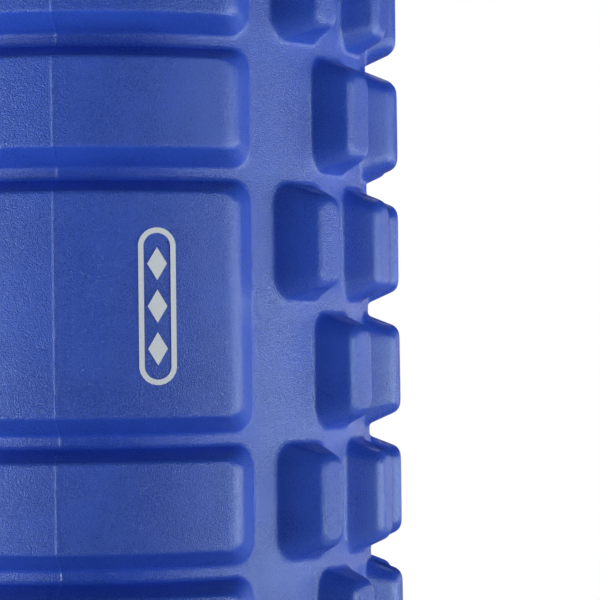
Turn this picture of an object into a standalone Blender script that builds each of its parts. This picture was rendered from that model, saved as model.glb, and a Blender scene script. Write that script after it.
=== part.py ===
"""Grid foam roller: a rigid hollow core tube inside a moulded foam sleeve of two half shells.

Units are metres. The roller stands on one end, with its axis on +Z and its lower end at z = 0.
An angle around the axis is in degrees, from -Y, where the front seam runs, towards +X.
The foam's outer skin has a floor, at FLOOR_RADIUS, from which separate blocks stand up.
"""

import math

import bmesh
import bpy
from mathutils import Matrix, Vector

# The roller
ROLLER_LENGTH = 0.330
ROLLER_RADIUS = 0.070  # over the tops of the blocks
BLOCK_HEIGHT = 0.0072
FLOOR_RADIUS = ROLLER_RADIUS - BLOCK_HEIGHT
FIT_GAP = 0.0003  # between pieces that touch

# The core tube
CORE_RADIUS = 0.055
CORE_WALL = 0.004
CORE_CHAMFER = 0.0008
CORE_SEGMENTS = 72

# The rows of blocks along the axis
ROW_COUNT = 12
ROW_PITCH = ROLLER_LENGTH / ROW_COUNT
GROOVE_WIDTH = 0.0028
DOUBLE_ROWS = (1, 5, 9)  # a tall wide block fills this row and the next one up

# The blocks around the axis, in degrees at the floor
WIDE_HALF_ANGLE = 38.0  # a wide block reaches this far on each side of a seam
SMALL_ANGLE = 15.4
SMALL_PITCH = 22.3
SMALL_PER_ROW = 4
ROW_SHIFT = SMALL_PITCH / 2  # odd rows are turned by half a pitch
SMALL_SPAN = (SMALL_PER_ROW - 1) * SMALL_PITCH + ROW_SHIFT + SMALL_ANGLE
FIRST_SMALL = 90 - SMALL_SPAN / 2

# How far a block's walls lean in by its full height
END_LEANS = (0.0032, 0.0029)  # a small block's lower and upper walls across the axis
WIDE_END_LEANS = (0.0034, 0.0026)  # and a wide block's
WIDE_LEAN = 6.6  # degrees, the wide blocks' own ends
SEAM_SIDE_LEANS = (6.6, 4.6, 4.6, 4.2)  # degrees, from the small block nearest the seam
FAR_SIDE_LEANS = (3.1, 3.8, 4.4, 2.6)
SMALL_CHAMFER = 0.0013  # round the top of a small block
WIDE_CHAMFER = 0.0006  # round the top of a wide one

# The foam half shells
FOAM_INNER_RADIUS = CORE_RADIUS + FIT_GAP
SEAM_ANGLE = math.degrees(FIT_GAP / 2 / FOAM_INNER_RADIUS)
LARGEST_STEP = 8.0  # degrees, the widest facet of the foam

# The printed film on the front of the middle block
FILM_HEIGHT = 0.032
FILM_WIDTH = 0.0078
FILM_THICKNESS = 0.0003
FILM_ANGLE = 17.0
FILM_STEPS = 4


def polar(angle, radius, height):
    turn = math.radians(angle)
    return Vector((radius * math.sin(turn), -radius * math.cos(turn), height))


def angle_of(point):
    return math.degrees(math.atan2(point.x, -point.y))


def make_material(name, color, roughness, metallic=0.0):
    material = bpy.data.materials.new(name)
    material.use_nodes = True
    shader = material.node_tree.nodes["Principled BSDF"]
    shader.inputs["Base Color"].default_value = (*color, 1.0)
    shader.inputs["Roughness"].default_value = roughness
    shader.inputs["Metallic"].default_value = metallic
    return material


def add_object(name, mesh, material):
    part = bpy.data.objects.new(name, mesh)
    mesh.materials.append(material)
    bpy.context.scene.collection.objects.link(part)
    return part


def mesh_from(name, bm):
    bmesh.ops.recalc_face_normals(bm, faces=bm.faces)
    mesh = bpy.data.meshes.new(name)
    bm.to_mesh(mesh)
    bm.free()
    mesh.shade_smooth()
    mesh.set_sharp_from_angle(angle=math.radians(12))
    return mesh


# ---- The core tube: a closed chamfered section turned about the axis ----


def core_section():
    outer, inner = CORE_RADIUS, CORE_RADIUS - CORE_WALL
    low, high, cut = 0.0, ROLLER_LENGTH, CORE_CHAMFER
    return [
        (outer, high - cut), (outer, low + cut), (outer - cut, low), (inner + cut, low),
        (inner, low + cut), (inner, high - cut), (inner + cut, high), (outer - cut, high),
    ]


def build_core_tube(material):
    section = core_section()
    count = len(section)
    bm = bmesh.new()
    corners = [bm.verts.new((radius, 0, height)) for radius, height in section]
    edges = [bm.edges.new((corners[i], corners[(i + 1) % count])) for i in range(count)]
    bmesh.ops.spin(bm, geom=corners + edges, cent=(0, 0, 0), axis=(0, 0, 1),
                   angle=math.tau, steps=CORE_SEGMENTS, use_merge=True)
    bmesh.ops.remove_doubles(bm, verts=bm.verts, dist=1e-6)
    return add_object("core_tube", mesh_from("core_tube", bm), material)


# ---- The foam: where the blocks stand on the floor ----


def row_span(row):
    low = row * ROW_PITCH + GROOVE_WIDTH / 2
    return low, low + ROW_PITCH - GROOVE_WIDTH


def wide_spans():
    """The height of each wide block, from the bottom: one row, or two for a tall one."""
    spans, row = [], 0
    while row < ROW_COUNT:
        last = row + 1 if row in DOUBLE_ROWS else row
        spans.append((row_span(row)[0], row_span(last)[1]))
        row = last + 1
    return spans


def small_leans(place):
    """A small block's two leans, by its place from the seam among both kinds of row."""
    if place < SMALL_PER_ROW:
        return SEAM_SIDE_LEANS[place], FAR_SIDE_LEANS[place]
    mirrored = 2 * SMALL_PER_ROW - 1 - place
    return FAR_SIDE_LEANS[mirrored], SEAM_SIDE_LEANS[mirrored]


def half_blocks():
    """Every block of one half: its angles, its heights, its two sides' leans, and its edges.

    A lean of None is the cut of a wide block at a seam, which stays upright. The edges are the
    leans of its lower and upper walls and the chamfer round its top.
    """
    blocks = []
    first, last = SEAM_ANGLE, 180 - SEAM_ANGLE
    wide_edges, small_edges = (WIDE_END_LEANS, WIDE_CHAMFER), (END_LEANS, SMALL_CHAMFER)
    for heights in wide_spans():
        near, far = (first, WIDE_HALF_ANGLE), (180 - WIDE_HALF_ANGLE, last)
        blocks.append((near, heights, (None, WIDE_LEAN), wide_edges))
        blocks.append((far, heights, (WIDE_LEAN, None), wide_edges))
    for row in range(ROW_COUNT):
        for index in range(SMALL_PER_ROW):
            place = 2 * index + row % 2
            start = FIRST_SMALL + place * ROW_SHIFT
            angles = (start, start + SMALL_ANGLE)
            blocks.append((angles, row_span(row), small_leans(place), small_edges))
    return blocks


def grid_lines(stops, largest):
    """The stops in order, with even steps between them that are no larger than that."""
    lines, stops = [], sorted(set(round(stop, 9) for stop in stops))
    for low, high in zip(stops, stops[1:]):
        steps = math.ceil((high - low) / largest)
        lines += [low + (high - low) * i / steps for i in range(steps)]
    return lines + stops[-1:]


# ---- The foam: one half shell ----


def shell_grid(bm, angles, heights):
    """The closed half shell with a bare floor. Returns the floor's faces by column and row."""
    columns = len(angles)
    floor = [[bm.verts.new(polar(a, FLOOR_RADIUS, h)) for h in heights] for a in angles]
    ends = (heights[0], heights[-1])
    bore = [[bm.verts.new(polar(a, FOAM_INNER_RADIUS, h)) for h in ends] for a in angles]
    cells = {}
    for i in range(columns - 1):
        for j in range(len(heights) - 1):
            ring = (floor[i][j], floor[i + 1][j], floor[i + 1][j + 1], floor[i][j + 1])
            cells[i, j] = bm.faces.new(ring)
        bm.faces.new((bore[i][0], bore[i][1], bore[i + 1][1], bore[i + 1][0]))
        for end in (0, -1):
            ring = (floor[i][end], bore[i][end], bore[i + 1][end], floor[i + 1][end])
            bm.faces.new(ring)
    for side in (0, columns - 1):
        bm.faces.new(floor[side] + bore[side][::-1])
    return cells


def raise_region(bm, faces, old, new, radius):
    """Lift a patch of the skin to a radius, and fit it from its old bounds into new ones."""
    lifted = bmesh.ops.extrude_face_region(bm, geom=faces)["geom"]
    bmesh.ops.delete(bm, geom=[f for f in faces if f.is_valid], context="FACES_KEEP_BOUNDARY")
    for vert in (item for item in lifted if isinstance(item, bmesh.types.BMVert)):
        place = (angle_of(vert.co), vert.co.z)
        fitted = []
        for value, (low, high), (new_low, new_high) in zip(place, old, new):
            fitted.append(new_low + (new_high - new_low) * (value - low) / (high - low))
        vert.co = polar(fitted[0], radius, fitted[1])
    return [item for item in lifted if isinstance(item, bmesh.types.BMFace)]


def drawn_in(span, low, high):
    return span[0] + low, span[1] - high


def raise_block(bm, faces, angles, heights, leans, edges):
    """Stand one block on the floor: leaning walls, then the chamfer round its top."""
    (lower, upper), chamfer = edges
    turn = math.degrees(chamfer / ROLLER_RADIUS)
    sides = [0.0 if lean is None else lean for lean in leans]
    cuts = [0.0 if lean is None else turn for lean in leans]
    share = 1 - chamfer / BLOCK_HEIGHT
    wall = (
        drawn_in(angles, sides[0] * share, sides[1] * share),
        drawn_in(heights, lower * share, upper * share),
    )
    top = (
        drawn_in(angles, sides[0] + cuts[0], sides[1] + cuts[1]),
        drawn_in(heights, lower + chamfer, upper + chamfer),
    )
    faces = raise_region(bm, faces, (angles, heights), wall, ROLLER_RADIUS - chamfer)
    raise_region(bm, faces, wall, top, ROLLER_RADIUS)


def cells_inside(cells, angle_lines, height_lines, angles, heights):
    inside = []
    for (i, j), face in cells.items():
        angle = (angle_lines[i] + angle_lines[i + 1]) / 2
        height = (height_lines[j] + height_lines[j + 1]) / 2
        if angles[0] < angle < angles[1] and heights[0] < height < heights[1]:
            inside.append(face)
    return inside


def half_shell_mesh():
    blocks = half_blocks()
    angle_stops = [SEAM_ANGLE, 180 - SEAM_ANGLE]
    height_stops = [0.0, ROLLER_LENGTH]
    for angles, heights, _, _ in blocks:
        angle_stops += angles
        height_stops += heights
    angle_lines = grid_lines(angle_stops, LARGEST_STEP)
    height_lines = grid_lines(height_stops, ROW_PITCH)
    bm = bmesh.new()
    cells = shell_grid(bm, angle_lines, height_lines)
    patches = [cells_inside(cells, angle_lines, height_lines, *block[:2]) for block in blocks]
    for block, faces in zip(blocks, patches):
        raise_block(bm, faces, *block)
    return mesh_from("foam_half_right", bm)


def build_foam(material):
    right = half_shell_mesh()
    left = right.copy()
    left.name = "foam_half_left"
    left.transform(Matrix.Scale(-1, 4, Vector((1, 0, 0))))
    left.flip_normals()
    add_object("foam_half_right", right, material)
    add_object("foam_half_left", left, material)


# ---- The printed film: a thin curved strip over the middle block ----


def build_print_film(material):
    inner = ROLLER_RADIUS + FIT_GAP
    half_turn = math.degrees(FILM_WIDTH / 2 / inner)
    low = (ROLLER_LENGTH - FILM_HEIGHT) / 2
    bm = bmesh.new()
    rings = []
    for i in range(FILM_STEPS + 1):
        angle = FILM_ANGLE + half_turn * (2 * i / FILM_STEPS - 1)
        places = (
            (inner, low), (inner + FILM_THICKNESS, low),
            (inner + FILM_THICKNESS, low + FILM_HEIGHT), (inner, low + FILM_HEIGHT),
        )
        rings.append([bm.verts.new(polar(angle, radius, height)) for radius, height in places])
    for near, far in zip(rings, rings[1:]):
        for i in range(4):
            bm.faces.new((near[i], near[i - 1], far[i - 1], far[i]))
    bm.faces.new(rings[0])
    bm.faces.new(rings[-1][::-1])
    add_object("print_film", mesh_from("print_film", bm), material)


def main():
    for old in list(bpy.data.objects):
        bpy.data.objects.remove(old, do_unlink=True)
    build_core_tube(make_material("core_plastic", (0.028, 0.029, 0.031), 0.42))
    build_foam(make_material("blue_foam", (0.030, 0.094, 0.575), 0.35))
    build_print_film(make_material("pale_print", (0.76, 0.87, 1.0), 0.5))


main()
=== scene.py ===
"""The looks of the grid foam roller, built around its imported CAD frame.

Units are metres. The roller stands on its lower end, with its axis on +Z through the origin.
An angle around the axis is in degrees from -Y, where the front seam runs, towards +X.
"""

import math

import bmesh
import bpy
import numpy as np
from mathutils import Matrix, Vector


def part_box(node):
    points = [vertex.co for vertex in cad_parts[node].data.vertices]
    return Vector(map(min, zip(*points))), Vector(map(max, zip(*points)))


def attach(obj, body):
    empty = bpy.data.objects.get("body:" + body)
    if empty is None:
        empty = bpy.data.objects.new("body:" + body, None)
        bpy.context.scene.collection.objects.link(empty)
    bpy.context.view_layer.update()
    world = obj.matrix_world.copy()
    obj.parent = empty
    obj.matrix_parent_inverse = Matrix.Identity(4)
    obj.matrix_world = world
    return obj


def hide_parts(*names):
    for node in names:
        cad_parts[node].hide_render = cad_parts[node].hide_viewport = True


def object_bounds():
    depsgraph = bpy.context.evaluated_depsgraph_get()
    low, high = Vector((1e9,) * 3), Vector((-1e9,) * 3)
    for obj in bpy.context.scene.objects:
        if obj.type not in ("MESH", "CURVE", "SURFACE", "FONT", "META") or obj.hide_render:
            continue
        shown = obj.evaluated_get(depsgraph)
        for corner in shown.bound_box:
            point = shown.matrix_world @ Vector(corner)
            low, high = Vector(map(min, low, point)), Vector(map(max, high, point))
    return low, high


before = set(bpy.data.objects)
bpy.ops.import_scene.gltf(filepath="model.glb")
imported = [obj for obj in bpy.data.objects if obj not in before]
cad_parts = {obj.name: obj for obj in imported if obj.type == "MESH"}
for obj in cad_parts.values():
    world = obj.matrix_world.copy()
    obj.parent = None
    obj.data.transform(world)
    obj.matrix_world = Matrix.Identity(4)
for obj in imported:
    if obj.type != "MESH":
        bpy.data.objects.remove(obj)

CAD_LOW, CAD_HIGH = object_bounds()

# ---- Sizes from the frame ----
LENGTH = CAD_HIGH.z - CAD_LOW.z
MIDDLE = (CAD_HIGH.z + CAD_LOW.z) / 2
TOP_RADIUS = CAD_HIGH.y  # over the tops of the blocks
CORE_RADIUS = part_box("core_tube")[1].x

# ---- The block pattern, the same design as the CAD's ----
BLOCK_HEIGHT = 0.0072
FLOOR_RADIUS = TOP_RADIUS - BLOCK_HEIGHT
ROW_COUNT = 12
ROW_PITCH = LENGTH / ROW_COUNT
GROOVE_WIDTH = 0.0028
DOUBLE_ROWS = (1, 5, 9)  # a tall wide block fills this row and the next one up
WIDE_HALF_ANGLE = 38.0
SMALL_ANGLE = 15.4
SMALL_PITCH = 22.3
SMALL_PER_ROW = 4
ROW_SHIFT = SMALL_PITCH / 2
SMALL_SPAN = (SMALL_PER_ROW - 1) * SMALL_PITCH + ROW_SHIFT + SMALL_ANGLE
FIRST_SMALL = 90 - SMALL_SPAN / 2
END_LEANS = (0.0032, 0.0029)  # how far a small block's lower and upper walls lean in by the top
WIDE_END_LEANS = (0.0034, 0.0026)  # and a wide block's lower and upper ones
WIDE_LEAN = 6.6  # degrees, as are the leans of the small blocks' sides
SEAM_SIDE_LEANS = (6.6, 4.6, 4.6, 4.2)
FAR_SIDE_LEANS = (3.1, 3.8, 4.4, 2.6)

# ---- How finely a block is meshed and rounded ----
CELL_COLUMNS = 16  # mesh cells across a small block's cell, 16 of which go round the roller
CELL_STEP = 22.5 / CELL_COLUMNS  # degrees between mesh lines around the axis
ROW_STEPS = 18  # mesh lines along one row
WIDE_CELL = 28 * CELL_STEP  # a wide block's mesh cell ends here, in the groove beside it
CORNER_STEPS = 4  # mesh steps over half a rounded corner
BASE_CORNER = 0.0047  # plan radius of a block's corners at the floor
TOP_CORNER = 0.0018  # and round its flat top
BASE_FILLET = 0.0008
END_ROUND = 0.0028  # radius of a small block's edge between its walls across the axis and its top
SIDE_ROUND = 0.0032  # and between its other walls and its top
WIDE_END_ROUND = 0.0010  # the same two on a wide block
WIDE_SIDE_ROUND = 0.0060
BASE_FILLET_STEPS = 3
WALL_STEPS = 2
ROUND_STEPS = 10

# ---- The seam where the two half shells meet ----
SEAM_LINES = (0.00015, 0.0003, 0.00045, 0.0007, 0.0011)  # mesh lines beside it
SEAM_RIDGE = 0.00016  # height of the thin raised line
SEAM_RIDGE_WIDTH = 0.00045
SEAM_CREASE = 0.0003  # how far the skin stands proud as it nears the seam
SEAM_CREASE_WIDTH = 0.006
SEAM_GAP = 0.00001

# ---- The rest of the foam's skin ----
WAVE_HEIGHT = 0.00004
WALL_GRAIN = 0.35  # how coarse the grain is on the walls, where the tops have 1
FLOOR_GRAIN = 0.7  # and on the floor
TOP_GRAIN_FADE = 0.07  # the share of the block height over which the tops' grain sets in
FLOOR_GRAIN_FADE = 0.06
END_EDGE = 0.0006  # width of a flat ring round the outer rim of each end face
BORE_GAP = 0.00002  # between the foam and the core tube
MERGE_DISTANCE = 0.000002
SHARP_ANGLE = 50  # degrees; flatter edges are shaded smooth

ARC = math.radians(1) * FLOOR_RADIUS  # metres along the floor for one degree

# ---- The core tube and the print ----
CORE_WALL = 0.004
CORE_EDGE = 0.0008
CORE_SEGMENTS = 192
FILM_LOW, FILM_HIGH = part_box("print_film")
FILM_ANGLE = 17.0
FILM_HEIGHT = FILM_HIGH.z - FILM_LOW.z
FILM_WIDTH = 0.0078
FILM_STROKE = 0.0011
FILM_GAP = 0.00008
FILM_THICKNESS = 0.00012
FILM_STEPS = 12  # round each end
DIAMOND_STEP = 0.27 * FILM_HEIGHT
DIAMOND_SIZE = (0.26 * FILM_WIDTH, 0.105 * FILM_HEIGHT)  # half its width and half its height

# ---- Materials ----
FOAM_COLOR = (0.030, 0.094, 0.575)
FOAM_SPECULAR = 0.72
FOAM_SPECULAR_TINT = (0.76, 0.97, 1.0)
FOAM_ROUGHNESS = 0.3
FOAM_ROUGHNESS_SPREAD = 0.06
FOAM_GRAIN_DEPTH = 0.0002
FOAM_FINE_SCALE = 3800  # the noises' scales, one over the size of their features in metres
FOAM_COARSE_SCALE = 1100
FOAM_PATCH_SCALE = 70
FOAM_COARSE_SHARE = 0.12  # of the coarse noise in the relief
FOAM_PATCH_SHARE = 0.4  # of the patches in the mottling, the rest being fine noise
FOAM_MOTTLE = 0.16  # how much darker and lighter the mottling makes the colour
CORE_COLOR = (0.028, 0.029, 0.031)
CORE_STREAK_SCALE = 60
CORE_STREAK_STRETCH = (30, 30, 1)  # the streaks run along the tube
CORE_GRAIN_SCALE = 1500
CORE_GRAIN_DEPTH = 0.00004
PRINT_COLOR = (0.86, 0.94, 1.0)
PRINT_SPECKLE_SCALE = 2500
PRINT_GRAIN_DEPTH = 0.00002

# ---- The camera ----
CAMERA_LENS = 151.4  # millimetres, as is the sensor
CAMERA_SENSOR = 36.0
CAMERA_PLACE = (0.0657, -0.5769, MIDDLE - 0.0101)
CAMERA_TURNS = ((1.833, "Z"), (91.232, "X"), (-0.713, "Z"))  # heading, pitch and roll, in degrees

# ---- The studio ----
BOX_DISTANCE = 1.2
BOX_HEIGHT = 0.13
BOX_TALL = 0.24
SOFT_BOXES = (  # name, azimuth, width and power in watts
    ("left_wide", -75, 0.5, 3.0),
    ("left_front", -37, 0.34, 2.3),
    ("right_front", 58, 0.3, 2.9),
    ("right_side", 85, 0.3, 2.1),
    ("right_far", 100, 0.3, 0.8),
    ("right_back", 120, 0.4, 0.95),
    ("back", 145, 0.5, 0.55),
)
PANEL_LIFT = 0.004
LOW_PANELS = (  # on the floor, facing up: name, azimuth, near and far edges, width and power
    ("low_left", -80, 0.3, 0.8, 0.24, 6.2),
    ("low_left_front", -42, 0.3, 0.8, 0.2, 1.9),
    ("low_right_front", 60, 0.3, 0.8, 0.18, 1.2),
    ("low_right", 86, 0.3, 0.8, 0.18, 2.0),
    ("near_right", 70, 0.1, 0.3, 0.12, 0.04),
)
OVER_BACK = ((0.1, 0.75, 1.15), (0.8, 0.5), 5.0)  # place, size and power of the high lamp behind
OVER_FRONT = ((-0.3, -0.5, 1.5), (1.0, 0.8), 1.2)  # and of the weak one in front
FLOOR_COLOR = (0.85, 0.85, 0.85)
FLOOR_EXTENT = 3.0
FLOOR_FADE = (0.08, 0.5)  # the floor turns into white backdrop between these distances
FLOOR_NEAR = 0.6  # how much of it is already backdrop beside the roller
FLOOR_GLOW = 0.1  # how brightly the backdrop lights the roller, where the camera sees 1


# ==== The foam ====
# The skin is laid out flat first: x is metres along the floor's arc from the seam, y is the
# height z, and h is the height above the floor. Each block sits in a rectangular cell of its
# own, and rings of the same number of points run from the cell's border to the block's top.


def smooth(t):
    t = np.clip(t, 0, 1)
    return t * t * (3 - 2 * t)


def on_circle(centre, radius, turn):
    return centre[0] + radius * math.cos(turn), centre[1] + radius * math.sin(turn)


def outline(low, high, corner, shares_x, rows):
    """A rounded rectangle as a closed ring of points, from its lower left corner.

    shares_x holds the shares of the straight run that the mesh lines cut along x.
    """
    (x0, y0), (x1, y1) = low, high
    centres = ((x1 - corner, y0 + corner), (x1 - corner, y1 - corner),
               (x0 + corner, y1 - corner), (x0 + corner, y0 + corner))
    half = np.radians(45) * np.arange(CORNER_STEPS + 1) / CORNER_STEPS
    shares_y = np.linspace(0, 1, rows - 2 * CORNER_STEPS + 1)
    points = []
    for side, (centre, before) in enumerate(zip(centres, (centres[3],) + centres[:3])):
        start = math.radians(-90 + 90 * side)
        shares = shares_x if side % 2 == 0 else shares_y
        first, last = (np.array(on_circle(c, corner, start)) for c in (before, centre))
        points += [on_circle(before, corner, turn) for turn in start - half[:0:-1]]
        points += [tuple(first + (last - first) * share) for share in shares]
        points += [on_circle(centre, corner, turn) for turn in start + half[1:-1]]
    return np.array(points)


def border(low, high, lines_x, lines_y):
    """The cell's border with one point for each point of an outline inside it."""
    (x0, y0), (x1, y1) = low, high
    bottom = [(x, y0) for x in lines_x[:-1]]
    right = [(x1, y) for y in lines_y[:-1]]
    top = [(x, y1) for x in lines_x[:0:-1]]
    left = [(x0, y) for y in lines_y[:0:-1]]
    return np.array(bottom + right + top + left)


def heights(radius):
    """The heights of the rings round a block, with how far each flares out at the floor."""
    steps = []
    for s in np.linspace(0, 1, BASE_FILLET_STEPS + 1):
        steps.append((s * s * BASE_FILLET, (1 - s) ** 2 * BASE_FILLET))
    for s in np.linspace(0, 1, WALL_STEPS + 1)[1:-1]:
        steps.append((BASE_FILLET + (BLOCK_HEIGHT - radius - BASE_FILLET) * s, 0.0))
    for turn in np.linspace(math.pi / 2, 0, ROUND_STEPS + 1):
        steps.append((BLOCK_HEIGHT - radius * (1 - math.cos(turn)), 0.0))
    return steps


def inset(lean, radius, height):
    """How far in a wall has come at a height: a straight lean, then an arc into the top."""
    slope = math.atan2(lean, BLOCK_HEIGHT)
    reach = radius * math.tan((math.pi / 2 - slope) / 2)
    if height < BLOCK_HEIGHT - reach * math.cos(slope):
        return lean * height / BLOCK_HEIGHT
    above = height - BLOCK_HEIGHT + radius
    return lean + reach - math.sqrt(max(radius ** 2 - above ** 2, 0.0))


def coons(ring, columns, rows):
    """The points inside a ring, as a grid of columns + 1 by rows + 1 that includes the ring."""
    a, b, c = columns, columns + rows, 2 * columns + rows
    bottom, right = ring[:a + 1], ring[a:b + 1]
    top, left = ring[b:c + 1][::-1], np.vstack([ring[c:], ring[:1]])[::-1]
    u = np.linspace(0, 1, columns + 1)[:, None, None]
    v = np.linspace(0, 1, rows + 1)[None, :, None]
    grid = (1 - v) * bottom[:, None] + v * top[:, None] + (1 - u) * left[None] + u * right[None]
    corners = ((1 - u) * (1 - v) * bottom[0] + u * (1 - v) * bottom[-1]
               + (1 - u) * v * top[0] + u * v * top[-1])
    return grid - corners


class Skin:
    """Points (x, y, h) and faces of one half's flat skin, gathered block by block."""

    def __init__(self):
        self.points, self.faces = [], []

    def add(self, points):
        start = len(self.points)
        self.points += [tuple(p) for p in points]
        return start

    def face(self, ring):
        if sum(self.points[i][0] for i in ring) > 0:  # only the half on this side of the seam
            self.faces.append(ring)

    def strip(self, outer, inner, count):
        """Faces between two rings of count points, each given by its first point's number."""
        for i in range(count):
            j = (i + 1) % count
            self.face((outer + i, outer + j, inner + j, inner + i))

    def patch(self, start, columns, rows):
        """Faces over a grid of points that are numbered column by column."""
        for i in range(columns):
            for j in range(rows):
                a = start + i * (rows + 1) + j
                self.face((a, a + rows + 1, a + rows + 2, a + 1))


def with_height(plan, height):
    return np.column_stack([plan, np.full(len(plan), height)])


def add_block(skin, cell, block, leans, edge, lines_x, shares_x, rows):
    """One block in its cell, from the cell's border on the floor up to the block's top.

    cell and block are boxes on the floor, and leans are those of the block's sides. edge holds
    the leans of its lower and upper ends, and the edge radius over the ends and over the sides.
    """
    columns = len(lines_x) - 1
    count = 2 * (columns + rows)
    lines_y = np.linspace(cell[0][1], cell[1][1], rows + 1)
    rim = border(*cell, lines_x, lines_y)
    rings = []
    end_leans, end_round, side_round = edge
    full = inset(end_leans[1], end_round, BLOCK_HEIGHT)  # where the corners reach TOP_CORNER
    for height, flare in heights(max(end_round, side_round)):
        near, far = (inset(lean, side_round, height) - flare for lean in leans)
        lower, upper = (inset(lean, end_round, height) for lean in end_leans)
        low = (block[0][0] + near, block[0][1] + lower - flare)
        high = (block[1][0] - far, block[1][1] - upper + flare)
        corner = BASE_CORNER + (TOP_CORNER - BASE_CORNER) * upper / full
        rings.append(with_height(outline(low, high, corner, shares_x, rows), height))
    floor = (rim + rings[0][:, :2]) / 2
    rings = [with_height(rim, 0.0), with_height(floor, 0.0)] + rings
    starts = [skin.add(ring) for ring in rings]
    for outer, inner in zip(starts, starts[1:]):
        skin.strip(outer, inner, count)
    top = coons(rings[-1][:, :2], columns, rows).reshape(-1, 2)
    skin.patch(skin.add(with_height(top, BLOCK_HEIGHT)), columns, rows)


def add_floor(skin, start, end, row):
    """A plain stretch of floor between two cells, start and end in degrees."""
    columns = round((end - start) / CELL_STEP)
    x = np.linspace(start, end, columns + 1) * ARC
    y = np.linspace(row, row + 1, ROW_STEPS + 1) * ROW_PITCH
    grid = np.array([(a, b, 0.0) for a in x for b in y])
    skin.patch(skin.add(grid), columns, ROW_STEPS)


def wide_lines():
    """Mesh lines across a wide block's cell, denser at the seam.

    The second list holds the lines on the block's straight run, as shares of that run.
    """
    edge = WIDE_HALF_ANGLE * ARC - BASE_CORNER
    steps = round(WIDE_CELL / CELL_STEP) - CORNER_STEPS
    inner = np.array(SEAM_LINES)
    outer = np.linspace(SEAM_LINES[-1], edge, steps)[1:]
    half = np.concatenate([[0.0], inner, outer])
    both = np.concatenate([-half[:0:-1], half])
    corner = np.linspace(edge, WIDE_CELL * ARC, CORNER_STEPS + 1)[1:]
    return np.concatenate([-corner[::-1], both, corner]), (both / edge + 1) / 2


def row_span(row):
    """The lower and upper ends of a row's blocks at the floor."""
    low = row * ROW_PITCH + GROOVE_WIDTH / 2
    return low, low + ROW_PITCH - GROOVE_WIDTH


def small_leans(place):
    """The leans of a small block's two sides: the far half of the places mirrors the near one."""
    if place < SMALL_PER_ROW:
        return SEAM_SIDE_LEANS[place], FAR_SIDE_LEANS[place]
    mirrored = 2 * SMALL_PER_ROW - 1 - place
    return FAR_SIDE_LEANS[mirrored], SEAM_SIDE_LEANS[mirrored]


def add_wide_blocks(skin):
    """The wide blocks over this seam, whole; the half beyond the seam is left out later."""
    lines, shares = wide_lines()
    reach, side, lean = WIDE_CELL * ARC, WIDE_HALF_ANGLE * ARC, WIDE_LEAN * ARC
    edge = (WIDE_END_LEANS, WIDE_END_ROUND, WIDE_SIDE_ROUND)
    row = 0
    while row < ROW_COUNT:
        span = 2 if row in DOUBLE_ROWS else 1
        cell = ((-reach, row * ROW_PITCH), (reach, (row + span) * ROW_PITCH))
        block = ((-side, row_span(row)[0]), (side, row_span(row + span - 1)[1]))
        add_block(skin, cell, block, (lean, lean), edge, lines, shares, span * ROW_STEPS)
        row += span


def add_small_blocks(skin):
    columns, cell_width = CELL_COLUMNS, CELL_COLUMNS * CELL_STEP
    edge = (END_LEANS, END_ROUND, SIDE_ROUND)
    shares = np.linspace(0, 1, columns - 2 * CORNER_STEPS + 1)
    for row in range(ROW_COUNT):
        shift = cell_width / 2 * (row % 2)
        first_cell = WIDE_CELL + shift
        for index in range(SMALL_PER_ROW):
            place = 2 * index + row % 2
            cell_x = (first_cell + index * cell_width) * ARC
            cell = ((cell_x, row * ROW_PITCH), (cell_x + cell_width * ARC, (row + 1) * ROW_PITCH))
            start = (FIRST_SMALL + place * ROW_SHIFT) * ARC
            low, high = row_span(row)
            block = ((start, low), (start + SMALL_ANGLE * ARC, high))
            leans = tuple(lean * ARC for lean in small_leans(place))
            lines = np.linspace(cell[0][0], cell[1][0], columns + 1)
            add_block(skin, cell, block, leans, edge, lines, shares, ROW_STEPS)
        last_cell = first_cell + SMALL_PER_ROW * cell_width
        if shift:
            add_floor(skin, WIDE_CELL, first_cell, row)
        else:
            add_floor(skin, last_cell, last_cell + cell_width / 2, row)


def waves(angle, z):
    """The slight unevenness of moulded foam."""
    swell = np.sin(3 * angle + 31 * z) * np.sin(2 * angle - 57 * z + 1)
    ripple = np.sin(9 * angle - 140 * z) * np.sin(7 * angle + 210 * z + 2)
    return WAVE_HEIGHT * (swell + ripple / 2)


def roll_up(flat):
    """The flat skin's points rolled round the axis, with the seam's ridge and crease."""
    x, z, h = flat.T
    angle = x / FLOOR_RADIUS
    from_seam = np.minimum(x, math.pi * FLOOR_RADIUS - x)
    ridge = SEAM_RIDGE * np.cos(np.clip(from_seam / SEAM_RIDGE_WIDTH, 0, 1) * math.pi / 2) ** 2
    crease = SEAM_CREASE * np.exp(-from_seam / SEAM_CREASE_WIDTH)
    r = FLOOR_RADIUS + h + ridge + crease - WAVE_HEIGHT + waves(angle, z)
    return np.column_stack([r * np.sin(angle), -r * np.cos(angle), z])


def add_back_blocks(skin):
    """The wide blocks over the back seam, which mirror the ones over the front seam."""
    back = Skin()
    add_wide_blocks(back)
    points = np.array(back.points)
    points[:, 0] = math.pi * FLOOR_RADIUS - points[:, 0]
    start = skin.add(points)
    skin.faces += [tuple(start + i for i in face[::-1]) for face in back.faces]


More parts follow.
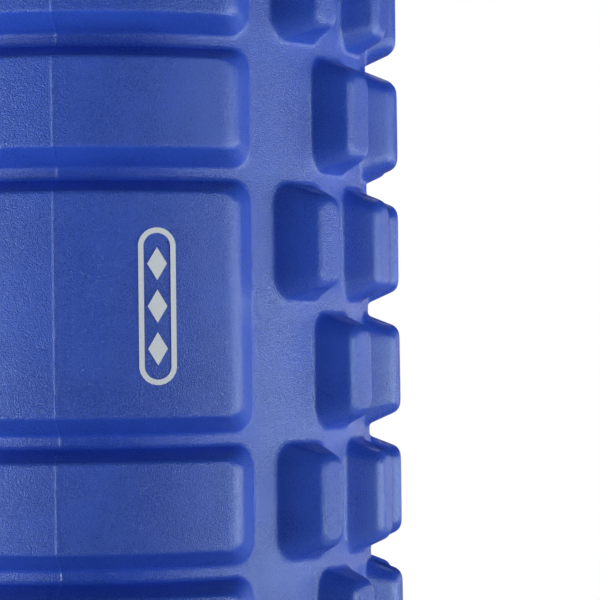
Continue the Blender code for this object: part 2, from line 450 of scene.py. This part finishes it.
def foam_mesh(name):
    """The half sleeve on the +X side."""
    skin = Skin()
    add_wide_blocks(skin)
    add_small_blocks(skin)
    add_back_blocks(skin)
    flat = np.array(skin.points)
    used = np.unique(np.array(skin.faces))
    renumber = np.zeros(len(flat), int)
    renumber[used] = np.arange(len(used))
    points = roll_up(flat[used])
    bm = bmesh.new()
    verts = [bm.verts.new(p) for p in points]
    for face in skin.faces:
        bm.faces.new([verts[renumber[i]] for i in face])
    bmesh.ops.remove_doubles(bm, verts=bm.verts, dist=MERGE_DISTANCE)
    close_shell(bm)
    mesh = bpy.data.meshes.new(name)
    bm.to_mesh(mesh)
    bm.free()
    add_grain(mesh)
    return mesh


def add_grain(mesh):
    """How coarse the mould left the skin at each point: coarse on top, finest on the walls."""
    places = np.empty(len(mesh.vertices) * 3)
    mesh.vertices.foreach_get("co", places)
    x, y, _ = places.reshape(-1, 3).T
    above = (np.hypot(x, y) - FLOOR_RADIUS) / BLOCK_HEIGHT
    grain = WALL_GRAIN + (1 - WALL_GRAIN) * smooth((above - 1) / TOP_GRAIN_FADE + 1)
    grain += (FLOOR_GRAIN - WALL_GRAIN) * (1 - smooth(above / FLOOR_GRAIN_FADE))
    mesh.attributes.new("grain", "FLOAT", "POINT").data.foreach_set("value", grain)


def close_shell(bm):
    """Add a flat ring just inside each end's rim, the end faces, the bore and the two seam faces."""
    bore = CORE_RADIUS + BORE_GAP
    rims = {}
    for end, inward in ((0.0, 1), (LENGTH, -1)):
        edges = [e for e in bm.edges if e.is_boundary
                 and all(abs(v.co.z - end) < 1e-6 for v in e.verts)]
        for radius in (None, bore):
            new = bmesh.ops.extrude_edge_only(bm, edges=edges)["geom"]
            verts = [g for g in new if isinstance(g, bmesh.types.BMVert)]
            edges = [g for g in new if isinstance(g, bmesh.types.BMEdge)]
            for v in verts:
                now = math.hypot(v.co.x, v.co.y)
                goal = radius if radius else now - END_EDGE
                v.co.x *= goal / now
                v.co.y *= goal / now
        rims[end] = edges
    bmesh.ops.bridge_loops(bm, edges=rims[0.0] + rims[LENGTH])
    sides = [e for e in bm.edges if e.is_boundary]
    for sign in (-1, 1):
        loop = [e for e in sides if all(v.co.y * sign > 0 for v in e.verts)]
        bmesh.ops.contextual_create(bm, geom=loop)
    for v in bm.verts:
        if abs(v.co.x) < SEAM_GAP:
            v.co.x = SEAM_GAP
    bmesh.ops.recalc_face_normals(bm, faces=bm.faces)


def build_foam():
    right = foam_mesh("foam_sleeve_right")
    right.shade_smooth()
    right.set_sharp_from_angle(angle=math.radians(SHARP_ANGLE))
    left = right.copy()
    left.name = "foam_sleeve_left"
    left.transform(Matrix.Scale(-1, 4, Vector((1, 0, 0))))
    left.flip_normals()
    material = foam_material()
    for mesh, node in ((right, "foam_half_right"), (left, "foam_half_left")):
        piece = bpy.data.objects.new(mesh.name, mesh)
        bpy.context.scene.collection.objects.link(piece)
        mesh.materials.append(material)
        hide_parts(node)
        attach(piece, "root")


# ==== The core tube and the print ====


def section_ring(radius_out, radius_in, low, high, edge, steps):
    """A tube's wall as a closed section with its four edges rounded, as (radius, height)."""
    corners = ((radius_out, low, -1, 1), (radius_out, high, -1, -1),
               (radius_in, high, 1, -1), (radius_in, low, 1, 1))
    points = []
    for index, (radius, height, way_r, way_z) in enumerate(corners):
        start = math.radians(-90 + 90 * index)
        centre = (radius + way_r * edge, height + way_z * edge)
        for i in range(steps + 1):
            points.append(on_circle(centre, edge, start + math.radians(90) * i / steps))
    return points


def build_core():
    section = section_ring(CORE_RADIUS, CORE_RADIUS - CORE_WALL, 0.0, LENGTH, CORE_EDGE, 5)
    bm = bmesh.new()
    rings = []
    for i in range(CORE_SEGMENTS):
        turn = math.tau * i / CORE_SEGMENTS
        ring = [bm.verts.new((r * math.cos(turn), r * math.sin(turn), z)) for r, z in section]
        rings.append(ring)
    for here, after in zip(rings, rings[1:] + rings[:1]):
        for a in range(len(section)):
            b = (a + 1) % len(section)
            bm.faces.new((here[a], after[a], after[b], here[b]))
    bmesh.ops.recalc_face_normals(bm, faces=bm.faces)
    piece = new_piece("core_pipe", bm, core_material())
    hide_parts("core_tube")
    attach(piece, "root")


def new_piece(name, bm, material):
    mesh = bpy.data.meshes.new(name)
    bm.to_mesh(mesh)
    bm.free()
    mesh.shade_smooth()
    mesh.set_sharp_from_angle(angle=math.radians(SHARP_ANGLE))
    mesh.materials.append(material)
    piece = bpy.data.objects.new(name, mesh)
    bpy.context.scene.collection.objects.link(piece)
    return piece


def stadium(half_width, half_height, steps):
    """The outline of an upright slot with round ends, counter-clockwise."""
    straight = half_height - half_width
    points = []
    for i in range(2 * steps):
        turn = math.pi * i / steps + math.pi / (2 * steps)
        lift = straight if turn < math.pi else -straight
        points.append(on_circle((0, lift), half_width, turn))
    return points


def diamond(centre, half_width, half_height):
    steps = ((half_width, 0), (0, half_height), (-half_width, 0), (0, -half_height))
    return [(x, centre + y) for x, y in steps]


def film_point(x, y, height):
    """A point of the print, x and y metres from its middle, at a height above the blocks."""
    turn = math.radians(FILM_ANGLE) + x / TOP_RADIUS
    radius = TOP_RADIUS + height
    return radius * math.sin(turn), -radius * math.cos(turn), MIDDLE + y


def add_film(bm, outer, inner=None):
    """A thin closed layer between two outlines, or filling one."""
    levels = (FILM_GAP, FILM_GAP + FILM_THICKNESS)
    rings = []
    for outline_points in (outer, inner) if inner else (outer,):
        for level in levels:
            rings.append([bm.verts.new(film_point(x, y, level)) for x, y in outline_points])
    count = len(outer)
    pairs = [(rings[0], rings[1])]
    if inner:
        pairs += [(rings[1], rings[3]), (rings[3], rings[2]), (rings[2], rings[0])]
    else:
        bm.faces.new(rings[1])
        bm.faces.new(rings[0][::-1])
    for a, b in pairs:
        for i in range(count):
            j = (i + 1) % count
            bm.faces.new((a[i], a[j], b[j], b[i]))


def build_print():
    """A plain pattern in place of the lettering: a slot outline round three diamonds."""
    bm = bmesh.new()
    half_width, half_height = FILM_WIDTH / 2, FILM_HEIGHT / 2
    add_film(bm, stadium(half_width, half_height, FILM_STEPS),
             stadium(half_width - FILM_STROKE, half_height - FILM_STROKE, FILM_STEPS))
    for step in (-1, 0, 1):
        add_film(bm, diamond(step * DIAMOND_STEP, *DIAMOND_SIZE))
    bmesh.ops.recalc_face_normals(bm, faces=bm.faces)
    piece = new_piece("print_pattern", bm, print_material())
    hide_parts("print_film")
    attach(piece, "root")


# ==== Materials ====


class Surface:
    """A Principled material with helpers for its procedural nodes, in object space."""

    def __init__(self, name, color, roughness):
        self.material = bpy.data.materials.new(name)
        self.material.use_nodes = True
        tree = self.material.node_tree
        self.nodes, self.links = tree.nodes, tree.links
        self.shader = self.nodes["Principled BSDF"]
        self.shader.inputs["Base Color"].default_value = (*color, 1)
        self.shader.inputs["Roughness"].default_value = roughness
        self.place = self.nodes.new("ShaderNodeTexCoord").outputs["Object"]

    def noise(self, scale, detail=2.0, stretch=None):
        """Noise with features about one over the scale across, in metres."""
        node = self.nodes.new("ShaderNodeTexNoise")
        node.inputs["Scale"].default_value = scale
        node.inputs["Detail"].default_value = detail
        place = self.place
        if stretch:
            mapping = self.nodes.new("ShaderNodeMapping")
            mapping.inputs["Scale"].default_value = stretch
            self.links.new(place, mapping.inputs["Vector"])
            place = mapping.outputs["Vector"]
        self.links.new(place, node.inputs["Vector"])
        return node.outputs["Fac"]

    def math(self, operation, *values):
        """A sum or other operation on values that are numbers or sockets."""
        node = self.nodes.new("ShaderNodeMath")
        node.operation = operation
        for value, socket in zip(values, node.inputs):
            if isinstance(value, (int, float)):
                socket.default_value = value
            else:
                self.links.new(value, socket)
        return node.outputs["Value"]

    def spread(self, value, low, high, start=0.3, end=0.7):
        """A noise value spread from its usual range onto another."""
        node = self.nodes.new("ShaderNodeMapRange")
        for name, number in (("From Min", start), ("From Max", end), ("To Min", low), ("To Max", high)):
            node.inputs[name].default_value = number
        self.links.new(value, node.inputs["Value"])
        return node.outputs["Result"]

    def tint(self, factor, low, high):
        """The base colour runs between two colours with the factor."""
        node = self.nodes.new("ShaderNodeMix")
        node.data_type = "RGBA"
        node.inputs["A"].default_value = (*low, 1)
        node.inputs["B"].default_value = (*high, 1)
        self.links.new(factor, node.inputs["Factor"])
        self.links.new(node.outputs["Result"], self.shader.inputs["Base Color"])

    def bump(self, height, distance):
        node = self.nodes.new("ShaderNodeBump")
        node.inputs["Distance"].default_value = distance
        self.links.new(height, node.inputs["Height"])
        self.links.new(node.outputs["Normal"], self.shader.inputs["Normal"])

    def attribute(self, name):
        node = self.nodes.new("ShaderNodeAttribute")
        node.attribute_name = name
        return node.outputs["Fac"]


def shade(color, factor):
    return tuple(channel * factor for channel in color)


def foam_material():
    surface = Surface("foam_skin", FOAM_COLOR, FOAM_ROUGHNESS)
    surface.shader.inputs["Specular IOR Level"].default_value = FOAM_SPECULAR
    surface.shader.inputs["Specular Tint"].default_value = (*FOAM_SPECULAR_TINT, 1)
    grain = surface.attribute("grain")
    fine = surface.noise(FOAM_FINE_SCALE, 1)
    coarse = surface.noise(FOAM_COARSE_SCALE, 1)
    patches = surface.math("MULTIPLY", surface.noise(FOAM_PATCH_SCALE, 4), FOAM_PATCH_SHARE)
    mottle = surface.math("MULTIPLY_ADD", fine, 1 - FOAM_PATCH_SHARE, patches)
    mottle = surface.spread(mottle, 0, 1, 0.35, 0.65)
    surface.tint(mottle, shade(FOAM_COLOR, 1 - FOAM_MOTTLE), shade(FOAM_COLOR, 1 + FOAM_MOTTLE))
    relief = surface.math("MULTIPLY_ADD", coarse, FOAM_COARSE_SHARE, fine)
    surface.bump(surface.math("MULTIPLY", relief, grain), FOAM_GRAIN_DEPTH)
    smoothest, roughest = FOAM_ROUGHNESS - FOAM_ROUGHNESS_SPREAD, FOAM_ROUGHNESS + FOAM_ROUGHNESS_SPREAD
    uneven = surface.spread(mottle, smoothest, roughest, 0, 1)
    surface.links.new(uneven, surface.shader.inputs["Roughness"])
    return surface.material


def core_material():
    surface = Surface("core_plastic", CORE_COLOR, 0.42)
    streaks = surface.noise(CORE_STREAK_SCALE, 3, stretch=CORE_STREAK_STRETCH)
    surface.tint(surface.spread(streaks, 0, 1), shade(CORE_COLOR, 0.7), shade(CORE_COLOR, 1.5))
    surface.links.new(surface.spread(streaks, 0.34, 0.5), surface.shader.inputs["Roughness"])
    grain = surface.noise(CORE_GRAIN_SCALE, 2)
    surface.bump(surface.math("ADD", streaks, grain), CORE_GRAIN_DEPTH)
    return surface.material


def print_material():
    surface = Surface("pale_ink", PRINT_COLOR, 0.5)
    speckle = surface.noise(PRINT_SPECKLE_SCALE, 3)
    surface.tint(surface.spread(speckle, 0, 1), shade(PRINT_COLOR, 0.93), shade(PRINT_COLOR, 1.0))
    surface.links.new(surface.spread(speckle, 0.42, 0.58), surface.shader.inputs["Roughness"])
    surface.bump(speckle, PRINT_GRAIN_DEPTH)
    return surface.material


# ==== The stage, the lights and the camera ====


def build_camera():
    data = bpy.data.cameras.new("camera")
    data.lens = CAMERA_LENS
    data.sensor_width = CAMERA_SENSOR
    camera = bpy.data.objects.new("camera", data)
    heading, pitch, roll = (Matrix.Rotation(math.radians(turn), 4, axis) for turn, axis in CAMERA_TURNS)
    camera.matrix_world = Matrix.Translation(CAMERA_PLACE) @ heading @ pitch @ roll
    bpy.context.scene.collection.objects.link(camera)
    bpy.context.scene.camera = camera


def around(azimuth, distance, height):
    """The point on an azimuth, turned from -Y towards +X."""
    turn = math.radians(azimuth)
    return distance * math.sin(turn), -distance * math.cos(turn), height


def area_light(name, place, aim, size, power):
    """A soft box, width by height, facing a point and hidden from the camera."""
    data = bpy.data.lights.new(name, "AREA")
    data.shape = "RECTANGLE"
    data.size, data.size_y = size
    data.energy = power
    light = bpy.data.objects.new(name, data)
    light.location = place
    light.rotation_mode = "QUATERNION"
    light.rotation_quaternion = (Vector(aim) - Vector(place)).to_track_quat("-Z", "Y")
    light.visible_camera = False
    bpy.context.scene.collection.objects.link(light)


def build_lights():
    for name, azimuth, width, power in SOFT_BOXES:
        place = around(azimuth, BOX_DISTANCE, BOX_HEIGHT)
        area_light(name, place, (0, 0, BOX_HEIGHT), (width, BOX_TALL), power)
    for name, azimuth, near, far, width, power in LOW_PANELS:
        middle, size = (near + far) / 2, (width, far - near)
        place = around(azimuth, middle, PANEL_LIFT)
        area_light(name, place, around(azimuth, middle, 1.0), size, power)
    for name, (place, size, power) in (("over_back", OVER_BACK), ("over_front", OVER_FRONT)):
        area_light(name, place, (0, 0, 2 * MIDDLE), size, power)


def build_world():
    """White where it is seen directly, and otherwise dark: the lamps give the light."""
    world = bpy.data.worlds.new("studio")
    bpy.context.scene.world = world
    world.use_nodes = True
    nodes = world.node_tree.nodes
    backdrop = nodes["Background"]
    backdrop.inputs["Color"].default_value = (1, 1, 1, 1)
    seen = nodes.new("ShaderNodeLightPath").outputs["Is Camera Ray"]
    world.node_tree.links.new(seen, backdrop.inputs["Strength"])


def build_floor():
    """A pale floor that brightens into the white backdrop away from the roller."""
    bm = bmesh.new()
    bmesh.ops.create_circle(bm, cap_ends=True, segments=96, radius=FLOOR_EXTENT)
    mesh = bpy.data.meshes.new("floor")
    bm.to_mesh(mesh)
    bm.free()
    floor = bpy.data.objects.new("floor", mesh)
    bpy.context.scene.collection.objects.link(floor)
    surface = Surface("floor", FLOOR_COLOR, 0.8)
    distance = surface.nodes.new("ShaderNodeVectorMath")
    distance.operation = "LENGTH"
    surface.links.new(surface.place, distance.inputs[0])
    away = surface.spread(distance.outputs["Value"], FLOOR_NEAR, 1, *FLOOR_FADE)
    glow = surface.nodes.new("ShaderNodeEmission")
    seen = surface.nodes.new("ShaderNodeLightPath").outputs["Is Camera Ray"]
    surface.links.new(surface.math("MAXIMUM", seen, FLOOR_GLOW), glow.inputs["Strength"])
    mix = surface.nodes.new("ShaderNodeMixShader")
    surface.links.new(away, mix.inputs["Fac"])
    surface.links.new(surface.shader.outputs["BSDF"], mix.inputs[1])
    surface.links.new(glow.outputs["Emission"], mix.inputs[2])
    surface.links.new(mix.outputs["Shader"], surface.nodes["Material Output"].inputs["Surface"])
    mesh.materials.append(surface.material)


def main():
    build_camera()
    build_foam()
    build_core()
    build_print()
    build_world()
    build_floor()
    build_lights()
    bpy.context.scene.view_settings.view_transform = "Standard"


main()
